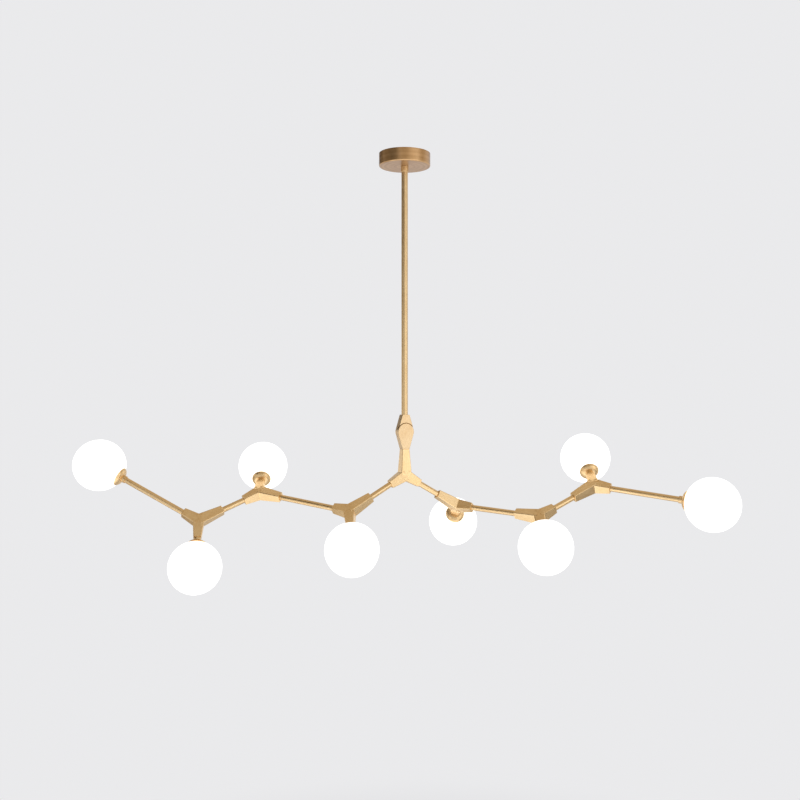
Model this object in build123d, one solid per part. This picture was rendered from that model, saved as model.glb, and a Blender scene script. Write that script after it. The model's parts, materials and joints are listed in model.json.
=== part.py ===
# Branching brass chandelier: eight opal glass globes on a zigzag of tubes and three-armed hubs,
# hung from a ceiling canopy by one straight rod and a tilting knuckle.
# Millimetres. Origin on the ceiling plane at the canopy's centre, +Z up, +X along the branches,
# +Y away from the viewer. The branch pose is the one the lamp is stored in.
import math
import os

from build123d import *

# Clearances and the usual edge cut
SLIP = 0.1                  # radial, between a spigot or tube and the bore it sits in
RUN_GAP = 0.3               # between faces that turn past each other
TURN_SLIP = 0.06            # radial, where a hub turns on its tube
EDGE_BREAK = 0.8

# Canopy, ceiling strap and hanger
CANOPY_DIAMETER = 120.0
CANOPY_HEIGHT = 30.0
CANOPY_WALL = 1.5
CANOPY_RIM_RADIUS = 2.5
STRAP_END_SPACE = 4.5       # between each end of the strap and the canopy's wall
STRAP_WIDTH = 22.0
STRAP_THICKNESS = 2.5
STRAP_CORNER = 5.5
SLOT_SPACING = 80.0
SLOT_LENGTH = 15.0
SLOT_WIDTH = 5.0
THREAD_DIAMETER = 10.0
NIPPLE_BORE = 7.2
NIPPLE_GRIP = 18.0          # length of nipple screwed into the rod
NUT_FLATS = 17.0
NUT_HEIGHT = 6.0
BLOCK_LENGTH = 20.0
BLOCK_WIDTH = 17.0
BLOCK_HEIGHT = 12.0
BLOCK_BEVEL = 1.0
BLOCK_SPACE = 1.0           # between the nut's corner and the terminal block
BLOCK_POLES = 3
BLOCK_ROWS = 2
BLOCK_SCREW_HOLE = 3.2
BLOCK_SCREW_DEPTH = 3.0
CABLE_DIAMETER = 6.8
CABLE_END = 9.0             # between the cable's cut end and the knuckle's spigot

# Down rod, its collar and the branch tubes
ROD_DIAMETER = 15.0
ROD_LENGTH = 576.0
COLLAR_WALL = 1.3
COLLAR_HEIGHT = 12.0
COLLAR_SEAT = 7.0           # depth that the rod stands in the collar
TUBE_DIAMETER = 13.2

# Tilting knuckle: two half-lapped tongues on one screw
KNUCKLE_RADIUS = 20.0
KNUCKLE_REACH = 40.0        # pivot to the end face of each half
KNUCKLE_END_WIDTH = 18.0
KNUCKLE_THICKNESS = 18.0
KNUCKLE_SEAM = 0.9          # gap round each tongue, where it swings past the other half's shoulder
KNUCKLE_BEVEL = 0.7
KNUCKLE_SPIGOT = 14.0
SPIGOT_END_GAP = 1.0
WASHER_THICKNESS = 0.6
WASHER_RADIUS = 8.0
WASHER_LAND = 1.0           # flat left round the washer inside the wire pocket
SCREW_RADIUS = 2.5
SCREW_HEAD_RADIUS = 5.0
SCREW_HEAD_HEIGHT = 2.5
SCREW_RECESS = 0.5
SCREW_GRIP = 5.0            # thread depth in the front tongue
DRIVER_SLOT_WIDTH = 1.2
DRIVER_SLOT_DEPTH = 1.2
WIRE_BORE = 6.0
POCKET_RADIUS = 13.5
POCKET_DEPTH = 3.5

# Three-armed hubs, square tapered arms at 120 degrees in one plane
HUB_LONG_ARM = 61.0
HUB_SHORT_ARM = 42.0
HUB_ROOT_WIDTH = 26.0
HUB_END_WIDTH = 18.0
HUB_BEVEL = 1.2
HUB_END_BEVEL = 0.6
LONG_SOCKET_DEPTH = 20.0
SHORT_SOCKET_DEPTH = 15.0
LAMP_BORE_DEPTH = 13.0
ARM_ANGLE = 120.0

# Branch lengths between hub centres, from the middle outwards, and the angle that each hub
# is turned to about the tube that carries it, measured from straight up
FIRST_SPAN = 158.0
LONG_SPAN_LEFT = 249.0
LONG_SPAN_RIGHT = 218.0
THIRD_SPAN = 158.0
END_TUBE_LENGTH = 173.0
SPINE_YAW = 24.0
LEFT_TURNS = (60.0, -120.0, 36.0)
RIGHT_TURNS = (74.5, -60.0, 112.5)

# Lamps: cup, socket, bulb and globe along one axis, measured from the cup's seat
CUP_COLLAR_DIAMETER = 17.0
CUP_COLLAR_LENGTH = 8.0
CUP_DIAMETER = 45.0
CUP_DOME_RADIUS = 15.8      # curve of the dome's profile, which starts square to the collar
CUP_WALL = 1.5
CUP_SPIGOT = 12.0
GLOBE_DIAMETER = 120.0
GLOBE_WALL = 2.5
NECK_RADIUS = 14.0
NECK_WALL = 2.5
NECK_LENGTH = 3.0           # neck standing inside the cup
SOCKET_RADIUS = 9.0
SOCKET_LENGTH = 20.0
SOCKET_FLANGE = 5.0
SOCKET_WIRE_DEPTH = 7.0
PIN_SPACING = 9.0
PIN_RADIUS = 1.0
PIN_LENGTH = 6.0
BULB_BASE_RADIUS = 7.5
BULB_BASE_LENGTH = 8.0
BULB_RADIUS = 8.5
BULB_LENGTH = 44.0
BULB_TIP_RADIUS = 8.0
BULB_SHOULDER = 1.5

# Places and sizes worked out from the ones above
STRAP_LENGTH = CANOPY_DIAMETER - 2 * (CANOPY_WALL + STRAP_END_SPACE)
THREAD_BORE = THREAD_DIAMETER + 2 * SLIP
COLLAR_DIAMETER = ROD_DIAMETER + 2 * (SLIP + COLLAR_WALL)
COLLAR_TOP = -CANOPY_HEIGHT - RUN_GAP
COLLAR_BOTTOM = COLLAR_TOP - COLLAR_HEIGHT
ROD_TOP = COLLAR_BOTTOM + COLLAR_SEAT
ROD_BOTTOM = ROD_TOP - ROD_LENGTH
NIPPLE_BOTTOM = ROD_TOP - NIPPLE_GRIP
UP = Vector(0, 0, 1)
PIVOT = UP * (ROD_BOTTOM - KNUCKLE_REACH)
CENTER = PIVOT - UP * (KNUCKLE_REACH + HUB_LONG_ARM)
GLOBE_RADIUS = GLOBE_DIAMETER / 2
CUP_FLOOR = CUP_COLLAR_LENGTH + CUP_WALL
CUP_DOME_MIDDLE = CUP_COLLAR_LENGTH + CUP_DOME_RADIUS
CUP_DOME_REACH = (CUP_DIAMETER - CUP_COLLAR_DIAMETER) / 2
CUP_RIM = CUP_DOME_MIDDLE - math.sqrt(CUP_DOME_RADIUS**2 - CUP_DOME_REACH**2)
CUP_INNER_REACH = math.sqrt((CUP_DOME_RADIUS - CUP_WALL)**2 - (CUP_DOME_MIDDLE - CUP_RIM)**2)
CUP_MOUTH = CUP_COLLAR_DIAMETER / 2 + CUP_INNER_REACH
# The globe's surface stands one running gap off the inner edge of the cup's rim
GLOBE_CENTER = CUP_RIM + math.sqrt(GLOBE_RADIUS**2 - CUP_MOUTH**2) + RUN_GAP


def write(shape, name):
    """Writes one sub-part."""
    export_step(shape, f"parts/{name}.step")


def rod_between(radius, bottom, top):
    """A cylinder on the Z axis from one height to another."""
    return Pos(0, 0, (bottom + top) / 2) * Cylinder(radius, top - bottom)


def tube_between(radius, bore_radius, bottom, top):
    """A tube on the Z axis."""
    return rod_between(radius, bottom, top) - rod_between(bore_radius, bottom, top)


def aimed(origin, direction):
    """The location that carries local +Z to a direction."""
    return Plane(origin=origin, z_dir=direction).location


# Canopy and ceiling fixing

def canopy_cup():
    """Spun brass cup, open to the ceiling, with a rolled lower rim and one hole for the nipple."""
    radius = CANOPY_DIAMETER / 2
    outside = rod_between(radius, -CANOPY_HEIGHT, 0)
    outside = fillet(outside.edges().group_by(Axis.Z)[0], CANOPY_RIM_RADIUS)
    inside = rod_between(radius - CANOPY_WALL, -CANOPY_HEIGHT + CANOPY_WALL, 0)
    inside = fillet(inside.edges().group_by(Axis.Z)[0], CANOPY_RIM_RADIUS - CANOPY_WALL)
    return outside - inside - rod_between(THREAD_BORE / 2, -CANOPY_HEIGHT, 0)


def ceiling_strap():
    """Flat steel strap with a slot each side for the ceiling box's screws."""
    outline = RectangleRounded(STRAP_LENGTH, STRAP_WIDTH, STRAP_CORNER)
    ends = (-SLOT_SPACING / 2, SLOT_SPACING / 2)
    slots = [Pos(x, 0) * SlotOverall(SLOT_LENGTH, SLOT_WIDTH) for x in ends]
    return extrude(outline - slots - Circle(THREAD_BORE / 2), -STRAP_THICKNESS)


def hanger_nipple():
    """Threaded tube from the strap down into the rod."""
    return tube_between(THREAD_DIAMETER / 2, NIPPLE_BORE / 2, NIPPLE_BOTTOM, 0)


def lock_nut():
    """Hexagon nut under the strap."""
    blank = RegularPolygon(NUT_FLATS / 2, 6, major_radius=False) - Circle(THREAD_BORE / 2)
    return Pos(0, 0, -STRAP_THICKNESS) * extrude(blank, -NUT_HEIGHT)


def terminal_block():
    """Screw terminal block under the strap, between the nut and one slot."""
    nut_corner = NUT_FLATS / 2 / math.cos(math.pi / 6)
    near = nut_corner + BLOCK_SPACE
    bottom = -STRAP_THICKNESS - BLOCK_HEIGHT
    middle = Pos(near + BLOCK_LENGTH / 2, 0, bottom + BLOCK_HEIGHT / 2)
    body = middle * Box(BLOCK_LENGTH, BLOCK_WIDTH, BLOCK_HEIGHT)
    body = chamfer(body.edges().filter_by(Axis.Y), BLOCK_BEVEL)
    for pole in range(BLOCK_POLES):
        y = (pole - (BLOCK_POLES - 1) / 2) * BLOCK_WIDTH / BLOCK_POLES
        for row in range(BLOCK_ROWS):
            x = near + (row + 0.5) * BLOCK_LENGTH / BLOCK_ROWS
            body -= Pos(x, y) * rod_between(BLOCK_SCREW_HOLE / 2, bottom, bottom + BLOCK_SCREW_DEPTH)
    return body


def supply_cable():
    """Sheathed lamp cable through the nipple and the rod."""
    return rod_between(CABLE_DIAMETER / 2, ROD_BOTTOM + KNUCKLE_SPIGOT + CABLE_END, -CANOPY_WALL)


# Rod, collar and knuckle

def canopy_collar():
    """Turned collar on the rod's top end, which holds the canopy up."""
    blank = rod_between(COLLAR_DIAMETER / 2, COLLAR_BOTTOM, COLLAR_TOP)
    blank = chamfer(blank.edges().group_by(Axis.Z)[0], EDGE_BREAK)
    thread = rod_between(THREAD_BORE / 2, COLLAR_BOTTOM, COLLAR_TOP)
    seat = rod_between(ROD_DIAMETER / 2 + SLIP, COLLAR_BOTTOM, ROD_TOP)
    return blank - thread - seat


def down_rod():
    """Straight brass tube that carries the branches."""
    return tube_between(ROD_DIAMETER / 2, THREAD_BORE / 2, ROD_BOTTOM, ROD_TOP)


def knuckle_outline():
    """Tear-drop outline of a knuckle half in its own XY: a disc run out to a narrow end at -Y."""
    corner = Vector(KNUCKLE_END_WIDTH / 2, -KNUCKLE_REACH)
    touch = math.atan2(corner.Y, corner.X) + math.acos(KNUCKLE_RADIUS / corner.length)
    tangent = Vector(math.cos(touch), math.sin(touch)) * KNUCKLE_RADIUS
    right = [corner, tangent]
    left = [Vector(-point.X, point.Y) for point in reversed(right)]
    return Circle(KNUCKLE_RADIUS) + make_face(Polyline(*right, *left, close=True))


def knuckle_half():
    """One half, pivot at the origin, end face at -Z, with its tongue on the -Y side.
    The other half is the same piece turned over."""
    gap = WASHER_THICKNESS / 2
    half = KNUCKLE_THICKNESS / 2
    face = Plane(origin=(0, 0, 0), x_dir=(1, 0, 0), z_dir=(0, -1, 0))
    outline = knuckle_outline()
    tongue = Pos(0, 0, gap) * extrude(outline, half - gap)
    shoulder = Pos(0, 0, -half) * extrude(outline - Circle(KNUCKLE_RADIUS + KNUCKLE_SEAM), half + gap)
    body = face * (tongue + shoulder)
    for side in (0, -1):
        outside = body.faces().sort_by(Axis.Y)[side]
        body = chamfer(outside.edges().sort_by(Axis.Z)[1:], KNUCKLE_BEVEL)
    land = WASHER_RADIUS + WASHER_LAND
    body -= face * extrude(Circle(POCKET_RADIUS) - Circle(land), gap + POCKET_DEPTH)
    body -= rod_between(WIRE_BORE / 2, -KNUCKLE_REACH, -land)
    end = -KNUCKLE_REACH - KNUCKLE_SPIGOT
    return body + tube_between(THREAD_DIAMETER / 2, WIRE_BORE / 2, end, -KNUCKLE_REACH)


def knuckle_pieces():
    """Upper and lower halves, screw and washer, at the pivot and turned to the spine's plane.
    The screw's head lies in the back of the upper half and its thread in the lower half's tongue."""
    crosswise = Rot(90, 0, 0)
    back = -KNUCKLE_THICKNESS / 2
    head_top = back + SCREW_RECESS
    head_floor = head_top + SCREW_HEAD_HEIGHT
    tip = WASHER_THICKNESS / 2 + SCREW_GRIP
    counterbore = rod_between(SCREW_HEAD_RADIUS + RUN_GAP, back, head_floor + RUN_GAP)
    clear_hole = rod_between(SCREW_RADIUS + SLIP, back, tip)
    upper = Rot(180, 0, 0) * knuckle_half() - crosswise * (clear_hole + counterbore)
    lower = knuckle_half() - crosswise * rod_between(SCREW_RADIUS, back, tip)
    head = rod_between(SCREW_HEAD_RADIUS, head_top, head_floor)
    driver_slot = Pos(0, 0, head_top) * Box(3 * SCREW_HEAD_RADIUS, DRIVER_SLOT_WIDTH, 2 * DRIVER_SLOT_DEPTH)
    screw = crosswise * (head + rod_between(SCREW_RADIUS, head_top, tip) - driver_slot)
    half_washer = WASHER_THICKNESS / 2
    washer = crosswise * tube_between(WASHER_RADIUS, SCREW_RADIUS + SLIP, -half_washer, half_washer)
    place = Location(PIVOT) * Rot(0, 0, SPINE_YAW)
    return {
        "knuckle_upper": place * upper,
        "knuckle_lower": place * lower,
        "knuckle_screw": place * screw,
        "knuckle_washer": place * washer,
    }


# Hubs and tubes

def bevelled_square(width):
    """A square with its corners cut back, the section of a hub's arm."""
    half = width / 2
    flat = half - HUB_BEVEL
    points = []
    for quarter in range(4):
        turn = math.radians(90 * quarter)
        for y, z in ((half, flat), (flat, half)):
            points.append((y * math.cos(turn) - z * math.sin(turn), y * math.sin(turn) + z * math.cos(turn)))
    return make_face(Polyline(*points, close=True))


def hub_arm(length):
    """One arm along +X that narrows both ways from the middle to its end."""
    root = Plane.YZ * bevelled_square(HUB_ROOT_WIDTH)
    tip = Plane.YZ.offset(length) * bevelled_square(HUB_END_WIDTH)
    arm = loft([root, tip], ruled=True)
    return chamfer(arm.faces().sort_by(Axis.X)[-1].edges(), HUB_END_BEVEL)


def hub(bores, depths):
    """Cast hub at the origin: long arm along +X, short arms at plus and minus ARM_ANGLE in XY.
    The front and back are three tilted faces each. Bores and their depths go in the same order."""
    arms = [(0.0, HUB_LONG_ARM), (ARM_ANGLE, HUB_SHORT_ARM), (-ARM_ANGLE, HUB_SHORT_ARM)]
    body = Part() + [Rot(0, 0, angle) * hub_arm(length) for angle, length in arms]
    for (angle, length), bore, depth in zip(arms, bores, depths):
        along = Rot(0, 0, angle) * Rot(0, 90, 0)
        body -= along * rod_between(bore / 2, length - depth, length)
        body -= along * rod_between(WIRE_BORE / 2, 0, length)
    return body


def directions(incoming, turn):
    """For a hub reached along a direction and turned about it: the next tube's way, the lamp's
    way and the in-plane normal that they lie on either side of."""
    level = (UP - incoming * UP.dot(incoming)).normalized()
    across = incoming.cross(level)
    angle = math.radians(turn)
    normal = level * math.cos(angle) + across * math.sin(angle)
    bend = math.radians(180 - ARM_ANGLE)
    onward = incoming * math.cos(bend) + normal * math.sin(bend)
    lamp_way = incoming * math.cos(bend) - normal * math.sin(bend)
    return onward, lamp_way, normal


def tube_at(origin, direction, start, end):
    """A branch tube along a direction from a hub centre, between two distances."""
    return aimed(origin, direction) * tube_between(TUBE_DIAMETER / 2, THREAD_BORE / 2, start, end)


# Lamps, built along +Z from the cup's seat

def lamp_cup():
    """Turned brass cup: spigot for the hub or tube, collar, and a shallow dome under the globe.
    The socket's flange stands in a flat seat on its floor."""
    collar = CUP_COLLAR_DIAMETER / 2
    spigot = THREAD_DIAMETER / 2
    bore = WIRE_BORE / 2
    middle = (collar, CUP_DOME_MIDDLE)
    inner_radius = CUP_DOME_RADIUS - CUP_WALL
    outer_sweep = math.degrees(math.asin(CUP_DOME_REACH / CUP_DOME_RADIUS))
    inner_sweep = math.degrees(math.asin(CUP_INNER_REACH / inner_radius))
    with BuildSketch(Plane.XZ) as section:
        with BuildLine():
            Polyline((collar, CUP_FLOOR), (bore, CUP_FLOOR), (bore, -CUP_SPIGOT), (spigot, -CUP_SPIGOT),
                     (spigot, 0), (collar, 0), (collar, CUP_COLLAR_LENGTH))
            outer = CenterArc(middle, CUP_DOME_RADIUS, -90, outer_sweep)
            inner = CenterArc(middle, inner_radius, -90, inner_sweep)
            Line(outer @ 1, inner @ 1)
        make_face()
    cup = revolve(section.sketch, Axis.Z)
    return cup - rod_between(NECK_RADIUS - NECK_WALL, CUP_FLOOR, CUP_RIM)


def lamp_socket():
    """Ceramic two-pin lamp holder standing on the cup's floor, with the flange that the globe
    screws on to."""
    top = CUP_FLOOR + SOCKET_LENGTH
    body = rod_between(SOCKET_RADIUS, CUP_FLOOR, top)
    body += rod_between(NECK_RADIUS - NECK_WALL - SLIP, CUP_FLOOR, CUP_FLOOR + SOCKET_FLANGE)
    body = chamfer(body.edges().group_by(Axis.Z)[-1], EDGE_BREAK)
    for x in (-PIN_SPACING / 2, PIN_SPACING / 2):
        body -= Pos(x, 0, 0) * rod_between(PIN_RADIUS + SLIP, top - PIN_LENGTH - RUN_GAP, top)
    return body - rod_between(WIRE_BORE / 2, CUP_FLOOR, CUP_FLOOR + SOCKET_WIRE_DEPTH)


def lamp_bulb():
    """Two-pin capsule bulb: moulded base and a long rounded envelope."""
    bottom = CUP_FLOOR + SOCKET_LENGTH
    shoulder = bottom + BULB_BASE_LENGTH
    envelope = rod_between(BULB_RADIUS, shoulder, bottom + BULB_LENGTH)
    envelope = fillet(envelope.edges().group_by(Axis.Z)[-1], BULB_TIP_RADIUS)
    envelope = chamfer(envelope.edges().group_by(Axis.Z)[0], BULB_SHOULDER)
    bulb = rod_between(BULB_BASE_RADIUS, bottom, shoulder) + envelope
    for x in (-PIN_SPACING / 2, PIN_SPACING / 2):
        bulb += Pos(x, 0, 0) * rod_between(PIN_RADIUS, bottom - PIN_LENGTH, bottom)
    return bulb


def lamp_globe():
    """Blown opal globe with a short moulded neck standing in the cup."""
    center = Pos(0, 0, GLOBE_CENTER)
    neck_end = GLOBE_CENTER - math.sqrt(GLOBE_RADIUS**2 - NECK_RADIUS**2) - NECK_LENGTH
    shell = center * Sphere(GLOBE_RADIUS) + rod_between(NECK_RADIUS, neck_end, GLOBE_CENTER)
    hollow = center * Sphere(GLOBE_RADIUS - GLOBE_WALL)
    hollow += rod_between(NECK_RADIUS - NECK_WALL, neck_end, GLOBE_CENTER)
    return shell - hollow


def metres(point):
    """A point's coordinates in metres, for the printed list of joints and lamps."""
    return [round(value / 1000, 6) for value in point]


def unit(direction):
    """A direction's parts, rounded for the printed list."""
    return [round(value, 6) for value in direction]


def lamp(tag, origin, direction):
    """One lamp's four pieces, with the cup's seat at a point and the globe along a direction."""
    place = aimed(origin, direction)
    made = {"cup": lamp_cup(), "socket": lamp_socket(), "bulb": lamp_bulb(), "globe": lamp_globe()}
    for kind, solid in made.items():
        write(place * solid, f"{kind}_{tag}")
    print("lamp", tag, "axis", unit(direction), "globe_m", metres(origin + direction * GLOBE_CENTER))


def branch(side, incoming, spans, turns, branch_hub):
    """One side's hubs, tubes and lamps, from the centre hub outwards."""
    point, way = CENTER, incoming
    tube_start = HUB_SHORT_ARM - SHORT_SOCKET_DEPTH
    for number, (span, turn) in enumerate(zip(spans, turns), start=1):
        tube_end = span - HUB_LONG_ARM + LONG_SOCKET_DEPTH - RUN_GAP
        write(tube_at(point, way, tube_start, tube_end), f"tube_{side}_{number}")
        point = point + way * span
        onward, lamp_way, normal = directions(way, turn)
        place = Plane(origin=point, x_dir=way * -1, z_dir=normal.cross(way)).location
        write(place * branch_hub, f"hub_{side}_{number}")
        print("joint", f"hub_{side}_{number}_turn", "pos_m", metres(point), "axis", unit(way))
        lamp(f"{side}_{number}", point + lamp_way * HUB_SHORT_ARM, lamp_way)
        way = onward
    last = len(spans) + 1
    tube_end = tube_start + END_TUBE_LENGTH
    write(tube_at(point, way, tube_start, tube_end), f"tube_{side}_{last}")
    lamp(f"{side}_{last}", point + way * tube_end, way)


os.makedirs("parts", exist_ok=True)
for piece in (canopy_cup, ceiling_strap, hanger_nipple, lock_nut, terminal_block, supply_cable,
              canopy_collar, down_rod):
    write(piece(), piece.__name__)
for name, solid in knuckle_pieces().items():
    write(solid, name)

# The centre hub hangs from the knuckle by its long arm, in the spine's upright plane
tube_socket = TUBE_DIAMETER + 2 * SLIP
turning_socket = TUBE_DIAMETER + 2 * TURN_SLIP
center_hub = hub((THREAD_BORE, tube_socket, tube_socket),
                 (KNUCKLE_SPIGOT + SPIGOT_END_GAP, SHORT_SOCKET_DEPTH, SHORT_SOCKET_DEPTH))
branch_hub = hub((turning_socket, tube_socket, THREAD_BORE),
                 (LONG_SOCKET_DEPTH, SHORT_SOCKET_DEPTH, LAMP_BORE_DEPTH))
yaw = math.radians(SPINE_YAW)
spine = Vector(math.cos(yaw), math.sin(yaw), 0)
write(Plane(origin=CENTER, x_dir=UP, z_dir=spine.cross(UP)).location * center_hub, "hub_center")

slope = math.radians(ARM_ANGLE)
left_way = UP * math.cos(slope) - spine * math.sin(slope)
right_way = UP * math.cos(slope) + spine * math.sin(slope)
branch("left", left_way, (FIRST_SPAN, LONG_SPAN_LEFT, THIRD_SPAN), LEFT_TURNS, branch_hub)
branch("right", right_way, (FIRST_SPAN, LONG_SPAN_RIGHT, THIRD_SPAN), RIGHT_TURNS, branch_hub)
print("joint knuckle_tilt pos_m", metres(PIVOT), "axis", unit(UP.cross(spine)))
print("globe_center_from_seat", round(GLOBE_CENTER, 3), "cup_rim", round(CUP_RIM, 3))
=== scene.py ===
import json
import math

import bmesh
import bpy
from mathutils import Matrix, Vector


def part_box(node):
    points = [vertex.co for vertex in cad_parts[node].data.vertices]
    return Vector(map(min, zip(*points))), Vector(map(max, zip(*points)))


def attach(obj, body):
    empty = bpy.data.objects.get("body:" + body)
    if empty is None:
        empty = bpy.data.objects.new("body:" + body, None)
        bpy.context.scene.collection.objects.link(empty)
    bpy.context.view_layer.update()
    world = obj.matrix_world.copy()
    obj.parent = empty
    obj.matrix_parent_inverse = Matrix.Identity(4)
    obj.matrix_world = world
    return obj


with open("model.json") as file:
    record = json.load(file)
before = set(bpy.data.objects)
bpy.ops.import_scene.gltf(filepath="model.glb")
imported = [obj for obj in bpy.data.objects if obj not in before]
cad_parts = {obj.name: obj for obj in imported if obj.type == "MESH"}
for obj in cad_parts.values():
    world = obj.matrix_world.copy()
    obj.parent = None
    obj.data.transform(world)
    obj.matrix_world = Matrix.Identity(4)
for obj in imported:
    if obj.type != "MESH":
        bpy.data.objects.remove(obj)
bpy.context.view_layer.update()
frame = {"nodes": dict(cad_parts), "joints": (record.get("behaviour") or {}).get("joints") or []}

# Ceiling strap, hanger nipple and lock nut: pressed and turned steel with a thin zinc plating.
# The strap is screwed to the ceiling box, the nipple is run up into it and the nut locks it.
STRAP_STEEL = ("ceiling_strap", "hanger_nipple", "lock_nut")
ZINC_PALE = (0.66, 0.66, 0.67, 1)
ZINC_DULL = (0.47, 0.47, 0.46, 1)
ZINC_SPANGLE = 260.0
ZINC_SCUFF = 90.0
ZINC_SCUFF_STRETCH = (1, 12, 12)
ZINC_SPANGLE_SHARE = 0.6
ZINC_SCUFF_SHARE = 0.4
ZINC_ROUGHNESS = 0.3
ZINC_SCUFF_ROUGHNESS = 0.25
FINE_RELIEF = 0.00002
ORIGIN = (0, 0, 0)
UPRIGHT = (0, 0, 1)


class Surface:
    """One socket of a finish's node tree. Sums, differences and products of values add Math nodes."""

    def __init__(self, tree, socket=None):
        self.tree = tree
        self.socket = socket

    def node(self, kind, settings=None, inputs=None, output=0):
        """Adds any node: settings first, then a value or a link for each named or numbered input."""
        made = self.tree.nodes.new(kind)
        for name, value in (settings or {}).items():
            setattr(made, name, value)
        for name, value in (inputs or {}).items():
            if isinstance(value, Surface):
                self.tree.links.new(value.socket, made.inputs[name])
            else:
                made.inputs[name].default_value = value
        return Surface(self.tree, made.outputs[output])

    def math(self, operation, first, second=0.0):
        return self.node("ShaderNodeMath", {"operation": operation}, {0: first, 1: second})

    def __add__(self, other):
        return self.math("ADD", self, other)

    def __radd__(self, other):
        return self.math("ADD", other, self)

    def __sub__(self, other):
        return self.math("SUBTRACT", self, other)

    def __rsub__(self, other):
        return self.math("SUBTRACT", other, self)

    def __mul__(self, other):
        return self.math("MULTIPLY", self, other)

    def __rmul__(self, other):
        return self.math("MULTIPLY", other, self)

    def between(self, low, high):
        """Nought below low, one above high, and a smooth rise from one to the other."""
        settings = {"interpolation_type": "SMOOTHSTEP", "clamp": True}
        ends = {"Value": self, "From Min": low, "From Max": high, "To Min": 0.0, "To Max": 1.0}
        return self.node("ShaderNodeMapRange", settings, ends)

    def tint(self, dark, light):
        """A colour between two, by this value."""
        settings = {"data_type": "RGBA", "clamp_factor": True}
        return self.node("ShaderNodeMix", settings, {0: self, 6: dark, 7: light}, 2)

    def place(self, centre, axis):
        """Where a point is in a piece's own frame: its centre at nought, its axis along Z."""
        turn = Vector(axis).to_track_quat("Z", "Y").to_euler()
        here = self.node("ShaderNodeTexCoord", output="Object")
        return self.node("ShaderNodeMapping", {"vector_type": "TEXTURE"},
                         {"Vector": here, "Location": tuple(centre), "Rotation": tuple(turn)})

    def part(self, axis):
        """The X, Y or Z of this vector."""
        return self.node("ShaderNodeSeparateXYZ", None, {0: self}, axis)

    def stretched(self, scale):
        """A vector multiplied part by part."""
        return self.node("ShaderNodeVectorMath", {"operation": "MULTIPLY"}, {0: self, 1: scale})

    def noise(self, scale, detail=3.0, roughness=0.55):
        """Cloudy noise over this vector."""
        inputs = {"Vector": self, "Scale": scale, "Detail": detail, "Roughness": roughness}
        return self.node("ShaderNodeTexNoise", None, inputs, "Fac")

    def rings(self):
        """This place with the turn about its axis left out: distance from the axis, height, nought."""
        x = self.part("X")
        y = self.part("Y")
        radius = self.math("SQRT", x * x + y * y)
        return self.node("ShaderNodeCombineXYZ", None, {"X": radius, "Y": self.part("Z")})

    def bump(self, height, depth):
        """A normal for a height field of a given depth in metres."""
        inputs = {"Strength": 1.0, "Distance": depth, "Height": height}
        return self.node("ShaderNodeBump", None, inputs, "Normal")


def finish(name, **sockets):
    """A new material with its even values set; returns it, its tree and its shader node."""
    material = bpy.data.materials.new(name)
    material.use_nodes = True
    shader = material.node_tree.nodes["Principled BSDF"]
    for socket, value in sockets.items():
        shader.inputs[socket.replace("_", " ")].default_value = value
    return material, Surface(material.node_tree), shader


def feed(surface, shader, **fields):
    """Links what changes over the surface to the shader's sockets."""
    for socket, field in fields.items():
        surface.tree.links.new(field.socket, shader.inputs[socket.replace("_", " ")])


def dress(node, material):
    """Gives a CAD node its finish."""
    slots = frame["nodes"][node].data.materials
    slots.clear()
    slots.append(material)


def zinc_plate():
    """Bright plating with a fine spangle, scuffed one way."""
    material, surface, shader = finish("zinc_plate", Metallic=1.0)
    here = surface.place(ORIGIN, UPRIGHT)
    spangle = here.noise(ZINC_SPANGLE, detail=2.0)
    scuff = here.stretched(ZINC_SCUFF_STRETCH).noise(ZINC_SCUFF)
    tone = spangle * ZINC_SPANGLE_SHARE + scuff * ZINC_SCUFF_SHARE
    feed(surface, shader,
         Base_Color=tone.tint(ZINC_DULL, ZINC_PALE),
         Roughness=ZINC_ROUGHNESS + ZINC_SCUFF_ROUGHNESS * scuff,
         Normal=surface.bump(spangle, FINE_RELIEF))
    return material


zinc = zinc_plate()
for node in STRAP_STEEL:
    dress(node, zinc)

# Terminal block: white moulded plastic under the strap, where the house wires meet the lamp's own.
# Six slotted brass screws stand in its holes and clamp the wires.
BLOCK_WHITE = (0.86, 0.86, 0.84, 1)
BLOCK_SHADE = (0.78, 0.78, 0.75, 1)
BLOCK_GRAIN = 60.0
BLOCK_POLES = 3
BLOCK_ROWS = 2
PLASTIC_ROUGHNESS = 0.42
PITS_TO_GRAIN = 20
PIT_ROUGHNESS = 0.15
PIT_DEPTH = 0.00003
CLAMP_RADIUS = 0.0015
CLAMP_LENGTH = 0.0019
CLAMP_SUNK = 0.001
CLAMP_SLOT_LENGTH = 0.0024
CLAMP_SLOT_WIDTH = 0.0006
CLAMP_SLOT_DEPTH = 0.0007
CLAMP_SCUFF = 2600.0
CLAMP_ROUGHNESS = 0.25
CLAMP_SCUFF_ROUGHNESS = 0.3
CLAMP_BRASS = (0.68, 0.5, 0.24, 1)
CLAMP_WORN = (0.82, 0.68, 0.42, 1)
SCREW_SIDES = 24
SCREW_BEVEL = 0.12
NEARLY_NOUGHT = 1e-6


def moulded_plastic(name, shade, pale, grain):
    """Plastic from a lightly pitted mould."""
    material, surface, shader = finish(name, Specular_IOR_Level=0.45)
    here = surface.place(ORIGIN, UPRIGHT)
    cloud = here.noise(grain)
    pits = here.noise(grain * PITS_TO_GRAIN, detail=1.0)
    feed(surface, shader,
         Base_Color=cloud.tint(shade, pale),
         Roughness=PLASTIC_ROUGHNESS + PIT_ROUGHNESS * pits,
         Normal=surface.bump(pits, PIT_DEPTH))
    return material


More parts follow.
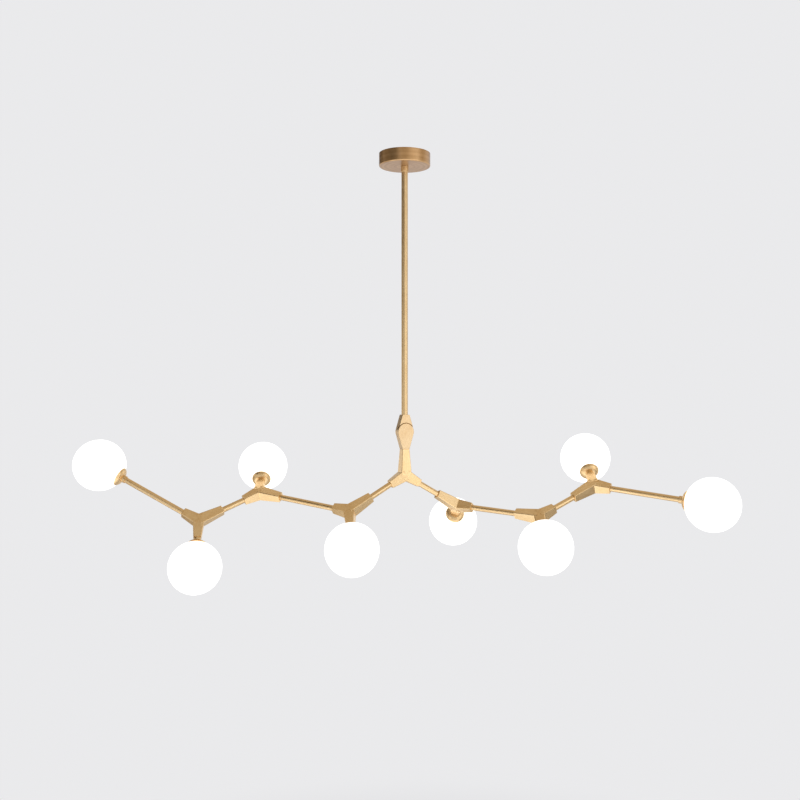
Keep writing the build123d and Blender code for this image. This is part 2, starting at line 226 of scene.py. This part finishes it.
def screw(name, place, outward, radius, length, recess, depth, material, body):
    """A headless screw. Recess gives the driver hole's edge at each angle round the axis."""
    bevel = SCREW_BEVEL * radius
    angles = [2 * math.pi * step / SCREW_SIDES for step in range(SCREW_SIDES)]
    hole = [recess(angle) for angle in angles]
    shank = [radius] * SCREW_SIDES
    rim = [radius - bevel] * SCREW_SIDES
    profile = [(shank, -length), (shank, -bevel), (rim, 0), (hole, 0), (hole, -depth)]
    form = bmesh.new()
    rings = []
    for edge, height in profile:
        spots = [(out * math.cos(angle), out * math.sin(angle), height) for out, angle in zip(edge, angles)]
        rings.append([form.verts.new(spot) for spot in spots])
    for lower, upper in zip(rings, rings[1:]):
        for step in range(SCREW_SIDES):
            after = (step + 1) % SCREW_SIDES
            form.faces.new((lower[step], lower[after], upper[after], upper[step]))
    form.faces.new(reversed(rings[0]))
    form.faces.new(rings[-1])
    mesh = bpy.data.meshes.new(name)
    form.to_mesh(mesh)
    form.free()
    mesh.materials.append(material)
    made = bpy.data.objects.new(name, mesh)
    made.location = place
    made.rotation_euler = Vector(outward).to_track_quat("Z", "Y").to_euler()
    bpy.context.scene.collection.objects.link(made)
    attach(made, body)


def clamp_slot(angle):
    """Edge of a straight driver slot."""
    ends = CLAMP_SLOT_LENGTH / 2 / max(abs(math.cos(angle)), NEARLY_NOUGHT)
    sides = CLAMP_SLOT_WIDTH / 2 / max(abs(math.sin(angle)), NEARLY_NOUGHT)
    return min(ends, sides)


def clamp_metal():
    """Bare brass, worn by the driver."""
    material, surface, shader = finish("clamp_brass", Metallic=1.0)
    scuff = surface.place(ORIGIN, UPRIGHT).noise(CLAMP_SCUFF)
    feed(surface, shader,
         Base_Color=scuff.tint(CLAMP_BRASS, CLAMP_WORN),
         Roughness=CLAMP_ROUGHNESS + CLAMP_SCUFF_ROUGHNESS * scuff,
         Normal=surface.bump(scuff, FINE_RELIEF))
    return material


dress("terminal_block", moulded_plastic("terminal_plastic", BLOCK_SHADE, BLOCK_WHITE, BLOCK_GRAIN))
block_low, block_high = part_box("terminal_block")
block_span = block_high - block_low
clamp_brass = clamp_metal()
for pole in range(BLOCK_POLES):
    for row in range(BLOCK_ROWS):
        x = block_low.x + (row + 0.5) * block_span.x / BLOCK_ROWS
        y = block_low.y + (pole + 0.5) * block_span.y / BLOCK_POLES
        screw(f"clamp_screw_{pole}_{row}", (x, y, block_low.z + CLAMP_SUNK), (0, 0, -1),
              CLAMP_RADIUS, CLAMP_LENGTH, clamp_slot, CLAMP_SLOT_DEPTH,
              clamp_brass, "canopy")

# Supply cable: smooth white plastic sheath over the lamp's wires. It comes down from the terminal
# block through the nipple and the rod.
SHEATH_PALE = (0.84, 0.83, 0.8, 1)
SHEATH_SHADE = (0.72, 0.71, 0.68, 1)
SHEATH_GRAIN = 40.0
dress("supply_cable", moulded_plastic("cable_sheath", SHEATH_SHADE, SHEATH_PALE, SHEATH_GRAIN))

# Canopy: a shallow cup spun from brass sheet, brushed on the lathe so that fine lines run round it,
# and lacquered. The collar below holds it against the ceiling.
BRASS_DEEP = (0.74, 0.5, 0.24, 1)
BRASS_BRIGHT = (0.91, 0.68, 0.385, 1)
SATIN_ROUGHNESS = 0.27
LACQUER = 0.1
LACQUER_CLOUD = 0.12
LACQUER_IOR = 1.45
TONE_RANGE = (0.3, 0.7)
LINE_DEPTH = 0.00004
TURNED_LINES = 900.0
TURNED_BANDS = 190.0
TURNED_CLOUD = 24.0
TURNED_LINES_SHARE = 0.35
TURNED_BANDS_SHARE = 0.4
TURNED_CLOUD_SHARE = 0.25
TURNED_LINES_ROUGHNESS = 0.16
TURNED_CLOUD_ROUGHNESS = 0.06
# The canopy's deep and bright tones are darker and redder than the rest of the brass.
CANOPY_DEEP = (0.55, 0.31, 0.13, 1)
CANOPY_BRIGHT = (0.78, 0.5, 0.25, 1)
CANOPY_LACQUER = 0.3
CANOPY_EDGE_TINT = (0.55, 0.62, 0.75, 1)


def turned_brass(name, centre, axis, deep=BRASS_DEEP, bright=BRASS_BRIGHT, lacquer=LACQUER):
    """Brass brushed while it turned: every line runs round the axis."""
    material, surface, shader = finish(name, Metallic=1.0, Coat_Roughness=0.18, Coat_IOR=LACQUER_IOR)
    here = surface.place(centre, axis)
    round_it = here.rings()
    lines = round_it.noise(TURNED_LINES, detail=2.0)
    bands = round_it.noise(TURNED_BANDS, detail=2.0)
    cloud = here.noise(TURNED_CLOUD)
    tone = lines * TURNED_LINES_SHARE + bands * TURNED_BANDS_SHARE + cloud * TURNED_CLOUD_SHARE
    feed(surface, shader,
         Base_Color=tone.between(*TONE_RANGE).tint(deep, bright),
         Roughness=SATIN_ROUGHNESS + TURNED_LINES_ROUGHNESS * lines + TURNED_CLOUD_ROUGHNESS * cloud,
         Coat_Weight=lacquer + LACQUER_CLOUD * cloud,
         Normal=surface.bump(lines, LINE_DEPTH))
    return material


canopy_low, canopy_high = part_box("canopy_cup")
canopy_middle = (canopy_low + canopy_high) / 2
canopy_brass = turned_brass("canopy_brass", canopy_middle, UPRIGHT,
                            CANOPY_DEEP, CANOPY_BRIGHT, CANOPY_LACQUER)
canopy_shader = canopy_brass.node_tree.nodes["Principled BSDF"]
canopy_shader.inputs["Specular Tint"].default_value = CANOPY_EDGE_TINT
dress("canopy_cup", canopy_brass)

# Collar and down rod: drawn brass tube, satin brushed along its length, in a small turned collar
# that is screwed up against the canopy.
DRAWN_ACROSS = 1100.0
DRAWN_ALONG = 26.0
DRAWN_STROKES = (DRAWN_ACROSS, DRAWN_ACROSS, DRAWN_ALONG)
DRAWN_STREAKS = (DRAWN_ACROSS / 4, DRAWN_ACROSS / 4, DRAWN_ALONG / 3)
DRAWN_CLOUD = 18.0
DRAWN_STROKES_SHARE = 0.35
DRAWN_STREAKS_SHARE = 0.35
DRAWN_CLOUD_SHARE = 0.3
DRAWN_STROKES_ROUGHNESS = 0.14
DRAWN_CLOUD_ROUGHNESS = 0.06


def drawn_brass(name, centre, axis):
    """Brass tube brushed along its axis."""
    material, surface, shader = finish(name, Metallic=1.0, Coat_Roughness=0.18, Coat_IOR=LACQUER_IOR)
    here = surface.place(centre, axis)
    strokes = here.stretched(DRAWN_STROKES).noise(1.0, detail=2.0)
    streaks = here.stretched(DRAWN_STREAKS).noise(1.0, detail=2.0)
    cloud = here.noise(DRAWN_CLOUD)
    tone = strokes * DRAWN_STROKES_SHARE + streaks * DRAWN_STREAKS_SHARE + cloud * DRAWN_CLOUD_SHARE
    feed(surface, shader,
         Base_Color=tone.between(*TONE_RANGE).tint(BRASS_DEEP, BRASS_BRIGHT),
         Roughness=SATIN_ROUGHNESS + DRAWN_STROKES_ROUGHNESS * strokes + DRAWN_CLOUD_ROUGHNESS * cloud,
         Coat_Weight=LACQUER + LACQUER_CLOUD * cloud,
         Normal=surface.bump(strokes, LINE_DEPTH))
    return material


dress("canopy_collar", turned_brass("collar_brass", ORIGIN, UPRIGHT))
dress("down_rod", drawn_brass("rod_brass", ORIGIN, UPRIGHT))

# Knuckle: two half-lapped brass castings, milled on the lapped faces and satin brushed along their
# length. A plain steel screw and a thin washer clamp them.
CAST_GRAIN = 520.0
CAST_STROKES = (DRAWN_ACROSS, DRAWN_ACROSS, DRAWN_ALONG * 3)
CAST_CLOUD = 34.0
CAST_GRAIN_SHARE = 0.3
CAST_STROKES_SHARE = 0.35
CAST_CLOUD_SHARE = 0.35
CAST_GRAIN_ROUGHNESS = 0.1
CAST_CLOUD_ROUGHNESS = 0.08
CAST_GRAIN_RELIEF = 0.5
CAST_STROKES_RELIEF = 0.5
# The knuckle's deep and bright tones are a darker copy of the cast brass: painted shade for the dimmer
# light on the knuckle.
KNUCKLE_SHADED_DEEP = (0.61, 0.41, 0.21, 1)
KNUCKLE_SHADED_BRIGHT = (0.76, 0.57, 0.34, 1)


def cast_brass(name, centre, axis, deep=BRASS_DEEP, bright=BRASS_BRIGHT):
    """Brass casting linished by hand: a fine even grain with a light brush along one way."""
    material, surface, shader = finish(name, Metallic=1.0, Coat_Roughness=0.2, Coat_IOR=LACQUER_IOR)
    here = surface.place(centre, axis)
    grain = here.noise(CAST_GRAIN, detail=4.0, roughness=0.65)
    strokes = here.stretched(CAST_STROKES).noise(1.0, detail=2.0)
    cloud = here.noise(CAST_CLOUD)
    tone = grain * CAST_GRAIN_SHARE + strokes * CAST_STROKES_SHARE + cloud * CAST_CLOUD_SHARE
    feed(surface, shader,
         Base_Color=tone.between(*TONE_RANGE).tint(deep, bright),
         Roughness=SATIN_ROUGHNESS + CAST_GRAIN_ROUGHNESS * grain + CAST_CLOUD_ROUGHNESS * cloud,
         Coat_Weight=LACQUER + LACQUER_CLOUD * cloud,
         Normal=surface.bump(grain * CAST_GRAIN_RELIEF + strokes * CAST_STROKES_RELIEF, LINE_DEPTH))
    return material


joint_at = {joint["name"]: joint for joint in frame["joints"]}
pivot = Vector(joint_at["knuckle_tilt"]["pos_m"])
# Cast brass in the knuckle's darker, painted-shade tones.
knuckle_shaded_brass = cast_brass("knuckle_shaded_brass", pivot, UPRIGHT, KNUCKLE_SHADED_DEEP, KNUCKLE_SHADED_BRIGHT)
for node in ("knuckle_upper", "knuckle_lower"):
    dress(node, knuckle_shaded_brass)
for node in ("knuckle_screw", "knuckle_washer"):
    dress(node, zinc)

# Hubs: three-armed brass castings with square tapered arms, linished flat by flat. Each is bored
# for its tubes and turns on the tube that carries it.
SIDES = ("left", "right")
HUBS_A_SIDE = 3
HUB_NAMES = [f"{side}_{number + 1}" for side in SIDES for number in range(HUBS_A_SIDE)]
dress("hub_center", cast_brass("hub_center_brass", (0, 0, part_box("hub_center")[0].z), UPRIGHT))
for hub in HUB_NAMES:
    carried = joint_at[f"hub_{hub}_turn"]
    dress(f"hub_{hub}", cast_brass(f"hub_{hub}_brass", carried["pos_m"], carried["axis"]))

# Set screws: small plated steel screws with a hexagon socket, one in the hidden side of each branch
# hub's long arm. Each is run down on to the tube inside and locks the hub at its angle.
SET_RADIUS = 0.002
SET_LENGTH = 0.004
SET_PROUD = 0.0003
SET_KEY = 0.002
SET_KEY_DEPTH = 0.0012
SET_FROM_HUB = 0.049
ARM_LENGTH = 0.061
ARM_HALF_WIDTH = 0.013
ARM_END_HALF_WIDTH = 0.009
ARM_NARROWING = (ARM_HALF_WIDTH - ARM_END_HALF_WIDTH) / ARM_LENGTH
ARM_ANGLE = math.radians(60)
HIDDEN_SIDE = Vector((0, 1, -0.12))


def key_socket(angle):
    """Edge of a hexagon socket."""
    sixth = math.pi / 3
    return SET_KEY / 2 / math.cos((angle + sixth / 2) % sixth - sixth / 2)


for hub in HUB_NAMES:
    carried = joint_at[f"hub_{hub}_turn"]
    way = Vector(carried["axis"])
    lamp_way = -Vector(joint_at[f"globe_{hub}_unscrew"]["axis"])
    across = (way * math.cos(ARM_ANGLE) - lamp_way).normalized().cross(way)
    if across.dot(HIDDEN_SIDE) < 0:
        across = -across
    height = ARM_HALF_WIDTH - ARM_NARROWING * SET_FROM_HUB + SET_PROUD
    spot = Vector(carried["pos_m"]) - way * SET_FROM_HUB + across * height
    screw(f"set_screw_{hub}", spot, across, SET_RADIUS, SET_LENGTH, key_socket, SET_KEY_DEPTH,
          zinc, f"branch_{hub}")

# Branch tubes: lengths of drawn brass tube, satin brushed like the rod. Each is pushed into the
# sockets of the hubs that it joins, and the last on each side carries the end lamp.
LAMPS_A_SIDE = HUBS_A_SIDE + 1
LAMP_NAMES = [f"{side}_{number + 1}" for side in SIDES for number in range(LAMPS_A_SIDE)]
for tube in LAMP_NAMES:
    along = joint_at[f"hub_{tube}_turn" if tube in HUB_NAMES else f"globe_{tube}_unscrew"]
    dress(f"tube_{tube}", drawn_brass(f"tube_{tube}_brass", along["pos_m"], along["axis"]))

# Lamp cups: a collar and a shallow dome turned from solid brass and brushed round the axis. Each is
# screwed into a hub's arm, or on to the end tube.
for lamp in LAMP_NAMES:
    thread = joint_at[f"globe_{lamp}_unscrew"]
    dress(f"cup_{lamp}", turned_brass(f"cup_{lamp}_brass", thread["pos_m"], thread["axis"]))

# Lamp sockets: pressed and fired ceramic, left unglazed and faintly speckled. Each stands on its
# cup's floor and takes the bulb's two pins.
CERAMIC_PALE = (0.86, 0.85, 0.81, 1)
CERAMIC_SPECK = (0.7, 0.68, 0.62, 1)
SPECK_GRAIN = 1400.0
SPECK_RANGE = (0.3, 0.45)
CERAMIC_ROUGHNESS = 0.5
SPECK_ROUGHNESS = 0.2


def fired_ceramic():
    """Pale ceramic with small dark specks."""
    material, surface, shader = finish("fired_ceramic", Specular_IOR_Level=0.4)
    speck = surface.place(ORIGIN, UPRIGHT).noise(SPECK_GRAIN, detail=1.0)
    feed(surface, shader,
         Base_Color=speck.between(*SPECK_RANGE).tint(CERAMIC_SPECK, CERAMIC_PALE),
         Roughness=CERAMIC_ROUGHNESS + SPECK_ROUGHNESS * speck,
         Normal=surface.bump(speck, FINE_RELIEF))
    return material


ceramic = fired_ceramic()
for lamp in LAMP_NAMES:
    dress(f"socket_{lamp}", ceramic)

# Bulbs: small glass capsules, frosted all over and lit, so that they glow warm and white. Each is
# pushed into its socket by its pins.
BULB_GLOW = (1.0, 0.94, 0.84, 1)
BULB_EDGE = (1.0, 0.86, 0.68, 1)
BULB_STRENGTH = 2.0
FROST_GRAIN = 700.0


def frosted_capsule():
    """Lit glass with a fine frost."""
    material, surface, shader = finish("frosted_capsule", Roughness=0.45, Emission_Strength=BULB_STRENGTH)
    frost = surface.place(ORIGIN, UPRIGHT).noise(FROST_GRAIN, detail=2.0)
    glow = frost.tint(BULB_EDGE, BULB_GLOW)
    feed(surface, shader, Base_Color=glow, Emission_Color=glow, Normal=surface.bump(frost, FINE_RELIEF))
    return material


frosted = frosted_capsule()
for lamp in LAMP_NAMES:
    dress(f"bulb_{lamp}", frosted)

# Globes: blown opal glass, white all through and smooth outside, lit evenly by the bulb. The glow is
# a little warmer at the neck than over the bulb. Each screws on to the flange of its socket.
OPAL_WHITE = (1.0, 0.985, 0.955, 1)
OPAL_NECK = (1.0, 0.93, 0.82, 1)
OPAL_STRENGTH = 1.2
OPAL_SWIRL = 38.0
OPAL_SWIRL_SHARE = 0.1
OPAL_GLOSS = 0.5
OPAL_SWIRL_GLOSS = 0.2
GLOBE_RADIUS = 0.06
NECK_FROM = 0.6 * GLOBE_RADIUS
NECK_TO = 1.02 * GLOBE_RADIUS


def opal_glass(name, centre, to_cup):
    """Lit opal glass, with a faint swirl in its gloss."""
    material, surface, shader = finish(name, Roughness=0.14, Specular_IOR_Level=0.5, Coat_Roughness=0.05,
                                       Emission_Strength=OPAL_STRENGTH)
    here = surface.place(centre, to_cup)
    away = 1 - here.part("Z").between(NECK_FROM, NECK_TO)
    swirl = here.noise(OPAL_SWIRL, detail=2.0)
    tone = away * (1 - OPAL_SWIRL_SHARE) + OPAL_SWIRL_SHARE * swirl
    feed(surface, shader,
         Base_Color=tone.tint(OPAL_NECK, OPAL_WHITE),
         Emission_Color=away.tint(OPAL_NECK, OPAL_WHITE),
         Coat_Weight=OPAL_GLOSS + OPAL_SWIRL_GLOSS * swirl)
    return material


for lamp in LAMP_NAMES:
    thread = joint_at[f"globe_{lamp}_unscrew"]
    dress(f"globe_{lamp}", opal_glass(f"globe_{lamp}_opal", thread["pos_m"], thread["axis"]))

# Room: a plain pale floor a room's height below the ceiling, and an even pale surround. The floor
# keeps the lamp's shadow under it and runs into the surround further out.
SURROUND = (0.823, 0.823, 0.836, 1)
FLOOR_LEVEL = -2.8
FLOOR_RADIUS = 40.0
FLOOR_SIDES = 96
SHADOW_NEAR = 1.6
SHADOW_FAR = 3.2
AMBIENT = 0.8


def rays_that_show(surface):
    """One for the rays that see a surface as a picture: straight, glossy and through glass."""
    names = ("Is Camera Ray", "Is Glossy Ray", "Is Transmission Ray")
    straight, glossy, through = [surface.node("ShaderNodeLightPath", output=name) for name in names]
    return surface.math("MINIMUM", straight + glossy + through, 1.0)


world = bpy.data.worlds.new("surround")
bpy.context.scene.world = world
world.use_nodes = True
air = Surface(world.node_tree)
backdrop = world.node_tree.nodes["Background"]
backdrop.inputs["Color"].default_value = SURROUND
brightness = AMBIENT + (1 - AMBIENT) * rays_that_show(air)
world.node_tree.links.new(brightness.socket, backdrop.inputs["Strength"])

floor_mesh = bpy.data.meshes.new("floor")
floor_form = bmesh.new()
bmesh.ops.create_circle(floor_form, cap_ends=True, segments=FLOOR_SIDES, radius=FLOOR_RADIUS)
floor_form.to_mesh(floor_mesh)
floor_form.free()
floor = bpy.data.objects.new("floor", floor_mesh)
floor.location.z = FLOOR_LEVEL
bpy.context.scene.collection.objects.link(floor)
floor_paint, ground, floor_shader = finish("floor_paint", Roughness=0.8, Base_Color=SURROUND)
floor_tree = floor_paint.node_tree
from_middle = ground.node("ShaderNodeTexCoord", output="Object")
reach = ground.node("ShaderNodeVectorMath", {"operation": "LENGTH"}, {0: from_middle}, "Value")
even = ground.node("ShaderNodeEmission", None, {"Color": SURROUND, "Strength": 1.0})
share = rays_that_show(ground) * reach.between(SHADOW_NEAR, SHADOW_FAR)
painted = Surface(floor_tree, floor_shader.outputs["BSDF"])
blended = ground.node("ShaderNodeMixShader", None, {0: share, 1: painted, 2: even})
floor_tree.links.new(blended.socket, floor_tree.nodes["Material Output"].inputs["Surface"])
floor_mesh.materials.append(floor_paint)

# Studio light: a soft panel to the viewer's right and a white bounce panel over the floor. Warm grey
# cards overhead, in front, at the sides and low down are what the brass reflects as its darker tones.
LAMP_MIDDLE = Vector((0, 0, -0.75))
CARD_WARMTH = (1.0, 0.86, 0.66)
BLACK = (0, 0, 0, 1)


def aimed_at_lamp(thing, place):
    """Puts a panel or card at a place, facing the lamp's middle, out of the camera's sight."""
    thing.location = place
    thing.rotation_euler = (LAMP_MIDDLE - Vector(place)).to_track_quat("-Z", "Y").to_euler()
    thing.visible_camera = False
    bpy.context.scene.collection.objects.link(thing)


def soft_panel(name, place, width, height, radiance):
    """A panel light of an even radiance."""
    light = bpy.data.lights.new(name, "AREA")
    light.shape = "RECTANGLE"
    light.size = width
    light.size_y = height
    light.energy = radiance * math.pi * width * height
    aimed_at_lamp(bpy.data.objects.new(name, light), place)


def warm_card(name, place, width, height, shade):
    """A card seen only in reflections."""
    mesh = bpy.data.meshes.new(name)
    form = bmesh.new()
    bmesh.ops.create_grid(form, x_segments=1, y_segments=1, size=0.5)
    form.to_mesh(mesh)
    form.free()
    card = bpy.data.objects.new(name, mesh)
    card.scale = (width, height, 1)
    card.visible_diffuse = False
    card.visible_shadow = False
    aimed_at_lamp(card, place)
    tone = tuple(shade * part for part in CARD_WARMTH) + (1,)
    paint = finish(name, Base_Color=BLACK, Roughness=1.0, Specular_IOR_Level=0.0,
                   Emission_Color=tone, Emission_Strength=1.0)[0]
    mesh.materials.append(paint)


soft_panel("right_panel", place=(2.43, -2.02, -0.6), width=2.1, height=1.9, radiance=0.85)
soft_panel("floor_panel", place=(-0.15, -0.45, -2.7), width=4.1, height=2.5, radiance=0.97)
warm_card("overhead_card", place=(0, 0.4, 1.7), width=6.0, height=5.0, shade=0.58)
warm_card("front_card", place=(0.2, -2.8, 1.5), width=5.0, height=1.4, shade=0.56)
warm_card("front_low_card", place=(0, -2.7, 0.35), width=1.5, height=0.9, shade=0.28)
warm_card("left_front_card", place=(-2.1, -1.8, 0.75), width=2.3, height=2.1, shade=0.06)
warm_card("left_high_card", place=(-3.1, -0.5, 1.0), width=2.4, height=1.3, shade=0.1)
warm_card("left_card", place=(-3.3, -0.1, -0.3), width=2.4, height=1.3, shade=0.46)
warm_card("left_back_card", place=(-2.4, 1.9, 0.7), width=2.6, height=1.8, shade=0.14)
warm_card("right_card", place=(3.4, -0.2, 0.6), width=2.0, height=2.0, shade=0.46)
warm_card("low_left_card", place=(-1.75, 1.35, -2.35), width=1.8, height=1.7, shade=0.4)
warm_card("far_left_card", place=(-3.1, -0.3, -2.0), width=1.6, height=1.6, shade=0.22)
warm_card("low_right_card", place=(2.5, -0.5, -2.25), width=1.3, height=1.4, shade=0.2)

# Camera: level, a little to the right of the rod and about two metres in front of it. Its lens is
# shifted a little, so that the lamp stands in the frame where the photograph has it.
VIEW_BACK = -2.0967
VIEW_RIGHT = 0.0369
VIEW_ABOVE_HUB = 0.18735
HUB_BELOW_PIVOT = 0.101
LENS = 40.243
SENSOR = 36.0
SHIFT_RIGHT = -0.0255
SHIFT_UP = -0.0064
camera_data = bpy.data.cameras.new("camera")
camera_data.lens = LENS
camera_data.sensor_width = SENSOR
camera_data.shift_x = SHIFT_RIGHT
camera_data.shift_y = SHIFT_UP
camera = bpy.data.objects.new("camera", camera_data)
camera.location = (VIEW_RIGHT, VIEW_BACK, pivot.z - HUB_BELOW_PIVOT + VIEW_ABOVE_HUB)
camera.rotation_euler = (math.pi / 2, 0, 0)
bpy.context.scene.collection.objects.link(camera)
bpy.context.scene.camera = camera
bpy.context.scene.view_settings.view_transform = "Standard"

bpy.context.view_layer.update()
